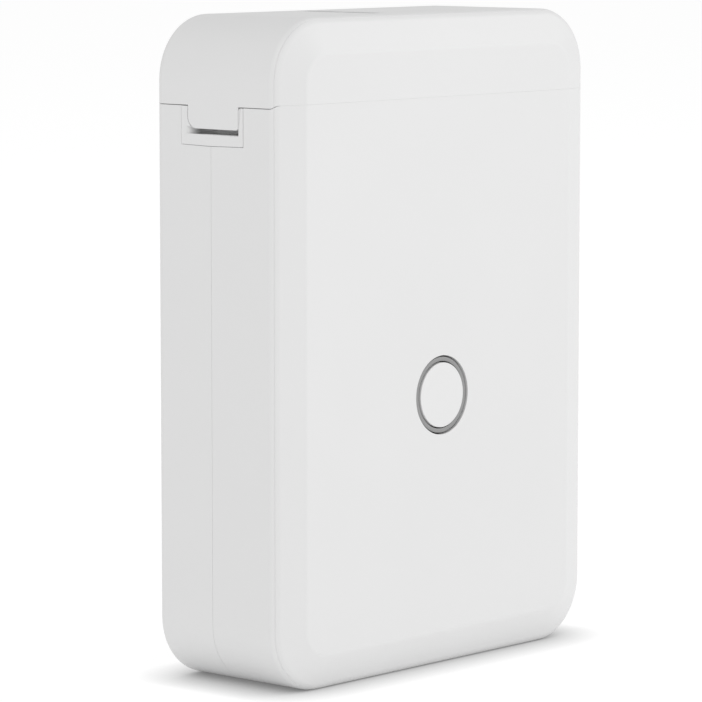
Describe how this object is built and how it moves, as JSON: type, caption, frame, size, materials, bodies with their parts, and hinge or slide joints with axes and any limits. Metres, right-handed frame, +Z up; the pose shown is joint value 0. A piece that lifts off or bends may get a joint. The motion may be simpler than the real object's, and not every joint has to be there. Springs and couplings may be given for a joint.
{
  "type": "thermal label printer",
  "caption": "Pocket thermal label printer: rounded upright case with a hinged top lid, a front button, and a roll bay, platen and print head inside.",
  "frame": {"origin": "middle of the footprint, on the surface the printer stands on", "axes": "+Z up along the longest extent, +Y to the back along the shortest extent, +X to the hinge side; the button faces -Y and the latch tab is on -X"},
  "size_m": [0.0754, 0.0282, 0.105],
  "materials": {
    "white_plastic": "moulded white ABS, very fine spark texture",
    "button_plastic": "moulded white, satin",
    "ring_plastic": "translucent grey light guide",
    "black_plastic": "moulded black, glass filled",
    "bay_plastic": "moulded dark grey",
    "steel": "nickel plated",
    "platen_rubber": "ground silicone rubber",
    "gear_nylon": "natural acetal",
    "brass": "turned",
    "head_ceramic": "glazed substrate with a dark heater line",
    "aluminium": "milled",
    "motor_can": "drawn can",
    "label_paper": "coated thermal paper",
    "core_board": "wound board",
    "circuit_board": "green solder mask",
    "chip_plastic": "moulded epoxy",
    "connector_nylon": "natural nylon",
    "battery_foil": "laminated pouch foil",
    "lead_sleeve": "vinyl sleeve",
    "cable_film": "amber polyimide"
  },
  "bodies": {
    "housing": {"front_shell": "white_plastic", "back_shell": "white_plastic", "latch_insert": "white_plastic", "button_ring": "ring_plastic", "shell_screw_1": "steel", "shell_screw_2": "steel", "shell_screw_3": "steel", "shell_screw_4": "steel", "hinge_pin": "steel", "print_frame": "black_plastic", "head_pivot": "steel", "head_spring_front": "steel", "head_spring_back": "steel", "motor": "motor_can", "motor_screw_1": "steel", "motor_screw_2": "steel", "frame_screw_1": "steel", "frame_screw_2": "steel", "gear_stud": "steel", "gap_sensor": "chip_plastic", "roll_bay": "bay_plastic", "bay_screw_1": "steel", "bay_screw_2": "steel", "label_web": "label_paper", "main_board": "circuit_board", "board_screw_1": "steel", "board_screw_2": "steel", "tact_switch": "chip_plastic", "bluetooth_module": "motor_can", "control_chip": "chip_plastic", "head_connector": "connector_nylon", "usb_socket": "steel", "battery": "battery_foil", "battery_lead": "lead_sleeve", "head_cable": "cable_film"},
    "lid": {"lid_shell": "white_plastic", "lid_frame": "black_plastic", "tear_bar": "steel", "lid_screw_1": "steel", "lid_screw_2": "steel", "platen_bush_front": "brass", "platen_bush_back": "brass"},
    "platen": {"platen_roller": "platen_rubber", "platen_shaft": "steel", "platen_gear": "gear_nylon"},
    "compound_gear_body": {"compound_gear": "gear_nylon"},
    "motor_rotor": {"motor_pinion": "brass", "motor_shaft": "steel"},
    "roll": {"label_roll": "label_paper", "roll_core": "core_board"},
    "button": {"power_button": "button_plastic"},
    "head": {"print_head": "head_ceramic", "head_heatsink": "aluminium"}
  },
  "joints": [
    {"name": "lid_hinge", "type": "hinge", "parent": "housing", "child": "lid", "pos_m": [0.03695, 0, 0.09124], "axis": [0, 1, 0], "range_deg": [0, 90]},
    {"name": "roll_spin", "type": "hinge", "parent": "housing", "child": "roll", "pos_m": [0.0145, 0, 0.0636], "axis": [0, 1, 0], "continuous": true},
    {"name": "platen_spin", "type": "hinge", "parent": "lid", "child": "platen", "pos_m": [-0.0025, 0, 0.096], "axis": [0, 1, 0], "continuous": true},
    {"name": "compound_gear_spin", "type": "hinge", "parent": "housing", "child": "compound_gear_body", "pos_m": [-0.00771, 0, 0.0898], "axis": [0, 1, 0], "continuous": true},
    {"name": "motor_spin", "type": "hinge", "parent": "housing", "child": "motor_rotor", "pos_m": [-0.0152, 0, 0.0823], "axis": [0, 1, 0], "continuous": true},
    {"name": "button_press", "type": "slide", "parent": "housing", "child": "button", "axis": [0, 1, 0], "range_m": [0, 0.0005], "stiffness_N_per_m": 300},
    {"name": "head_tilt", "type": "hinge", "parent": "housing", "child": "head", "pos_m": [-0.0089, 0, 0.0917], "axis": [0, -1, 0], "range_deg": [0, 2], "stiffness_Nm_per_rad": 0.3}
  ],
  "couplings": [
    {"joint": "platen_spin", "follows": "roll_spin", "ratio": 4.9429},
    {"joint": "compound_gear_spin", "follows": "roll_spin", "ratio": -8.2381},
    {"joint": "motor_spin", "follows": "roll_spin", "ratio": 20.595}
  ]
}
